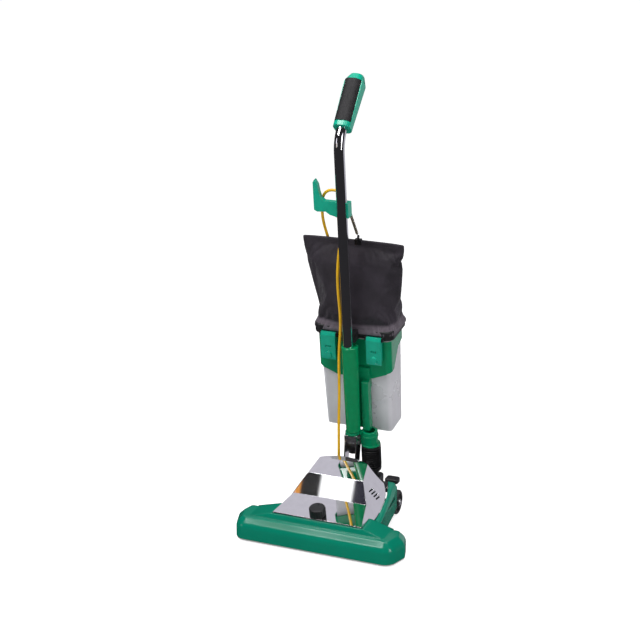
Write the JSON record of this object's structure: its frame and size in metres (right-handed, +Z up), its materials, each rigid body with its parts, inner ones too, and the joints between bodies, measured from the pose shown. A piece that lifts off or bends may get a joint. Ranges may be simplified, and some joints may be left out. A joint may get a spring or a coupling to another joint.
{
  "type": "upright vacuum cleaner",
  "caption": "Commercial upright vacuum cleaner: wide brush nozzle, folded chrome motor hood, leaning steel handle, clear dirt cup under a cloth bag, foot release pedal and cord.",
  "frame": {"origin": "on the floor, under the middle of the machine (loose cord coil not counted)", "axes": "+Z up along the machine height, +Y towards the operator, nozzle towards -Y, +X to the right seen from the nozzle side looking back"},
  "size_m": [0.432, 0.5285, 1.1079],
  "materials": {
    "green": "gloss moulded plastic",
    "teal": "gloss moulded plastic",
    "sole": "matte",
    "chrome": "polished",
    "steel": "satin",
    "black": "matte",
    "gloss_black": "semi-gloss",
    "bristle": "nylon tufts",
    "rubber": "matte",
    "tyre": "matte",
    "bearing": "matte",
    "iron": "laminated",
    "copper": "wound",
    "alu": "cast",
    "clear": "frosted clear",
    "filter": "felt",
    "gasket": "matte",
    "cloth": "woven",
    "cord": "satin",
    "brass": "polished"
  },
  "bodies": {
    "base": {"nozzle_housing": "green", "base_plate": "sole", "motor_hood": "chrome", "brush_bearings": "bearing", "drive_belt": "rubber", "motor_housing": "black", "motor_stator": "iron", "fan_housing": "black", "outlet_elbow": "black", "rear_axle": "steel", "chassis_frame": "black", "hood_screws": "steel", "cord_strain_relief": "rubber", "pedal_spring": "steel", "axle_caps": "steel", "handle_pivot_pin": "steel", "hose_clamp_lower": "black", "power_cord_coil": "cord", "cord_tie": "black", "plug_body": "cord", "plug_blades": "brass"},
    "handle": {"handle_bail": "chrome", "handle_tube": "chrome", "bail_bolts": "steel", "tube_sleeve": "green", "bag_frame": "black", "cup_gasket": "gasket", "duct_connector": "green", "air_hose": "rubber", "hose_clamp_upper": "black", "latch_pins": "steel", "dust_bag": "cloth", "bag_clip": "steel", "bag_spring": "steel", "cord_hook": "teal", "handle_grip": "green", "grip_insert": "rubber", "power_cord_riser": "cord", "power_cord_tail": "cord"},
    "cup": {"cup_housing": "green", "dirt_cup": "clear", "cup_filter": "filter", "fill_duct": "green"},
    "latch_left": {"latch_left": "teal"},
    "latch_right": {"latch_right": "teal"},
    "pedal": {"release_pedal": "black"},
    "switch": {"power_switch": "gloss_black"},
    "knob": {"height_knob": "black", "height_cam": "bearing"},
    "carriage": {"wheel_carriage": "steel", "front_axle": "steel"},
    "front_wheel_left": {"front_wheel_left": "tyre"},
    "front_wheel_right": {"front_wheel_right": "tyre"},
    "rear_wheel_left": {"rear_wheel_left": "tyre"},
    "rear_wheel_right": {"rear_wheel_right": "tyre"},
    "rotor": {"motor_rotor": "iron", "fan_impeller": "alu", "motor_pulley": "steel"},
    "brush": {"brush_roll": "black", "brush_bristles": "bristle"}
  },
  "joints": [
    {"name": "handle_recline", "type": "hinge", "parent": "base", "child": "handle", "pos_m": [0, 0.062, 0.1], "axis": [-1, 0, 0], "range_deg": [0, 50], "deforming": ["air_hose", "power_cord_riser", "power_cord_tail"]},
    {"name": "cup_slide", "type": "slide", "parent": "handle", "child": "cup", "axis": [0, 0.989, 0.1478], "range_m": [0, 0.08]},
    {"name": "latch_left_hinge", "type": "hinge", "parent": "handle", "child": "latch_left", "pos_m": [-0.059, 0.05439, 0.47007], "axis": [-1, 0, 0], "range_deg": [0, 70]},
    {"name": "latch_right_hinge", "type": "hinge", "parent": "handle", "child": "latch_right", "pos_m": [0.059, 0.05439, 0.47007], "axis": [-1, 0, 0], "range_deg": [0, 70]},
    {"name": "release_pedal_press", "type": "hinge", "parent": "base", "child": "pedal", "pos_m": [0.0535, 0.046, 0.082], "axis": [-1, 0, 0], "range_deg": [0, 15], "stiffness_Nm_per_rad": 1.2, "springref_deg": -14.32, "deforming": ["pedal_spring"]},
    {"name": "power_switch_rock", "type": "hinge", "parent": "base", "child": "switch", "pos_m": [-0.046, 0.084, 0.0895], "axis": [1, 0, 0], "range_deg": [0, 12]},
    {"name": "height_knob_turn", "type": "hinge", "parent": "base", "child": "knob", "pos_m": [-0.004, -0.147, 0.08112], "axis": [0, -0.2231, 0.9748], "range_deg": [0, 150]},
    {"name": "carriage_lift", "type": "hinge", "parent": "base", "child": "carriage", "pos_m": [0, -0.02, 0.01], "axis": [-1, 0, 0], "range_deg": [0, 4.5]},
    {"name": "front_wheel_left_roll", "type": "hinge", "parent": "carriage", "child": "front_wheel_left", "pos_m": [-0.057, -0.076, 0.014], "axis": [1, 0, 0], "continuous": true},
    {"name": "front_wheel_right_roll", "type": "hinge", "parent": "carriage", "child": "front_wheel_right", "pos_m": [0.057, -0.076, 0.014], "axis": [1, 0, 0], "continuous": true},
    {"name": "rear_wheel_left_roll", "type": "hinge", "parent": "base", "child": "rear_wheel_left", "pos_m": [-0.1075, 0.098, 0.031], "axis": [1, 0, 0], "continuous": true},
    {"name": "rear_wheel_right_roll", "type": "hinge", "parent": "base", "child": "rear_wheel_right", "pos_m": [0.1075, 0.098, 0.031], "axis": [1, 0, 0], "continuous": true},
    {"name": "rotor_spin", "type": "hinge", "parent": "base", "child": "rotor", "pos_m": [0, -0.005, 0.086], "axis": [1, 0, 0], "continuous": true},
    {"name": "brush_spin", "type": "hinge", "parent": "base", "child": "brush", "pos_m": [0, -0.15, 0.028], "axis": [1, 0, 0], "continuous": true}
  ],
  "couplings": [
    {"joint": "brush_spin", "follows": "rotor_spin", "ratio": 0.7015},
    {"joint": "carriage_lift", "follows": "height_knob_turn", "ratio": 0.03}
  ]
}
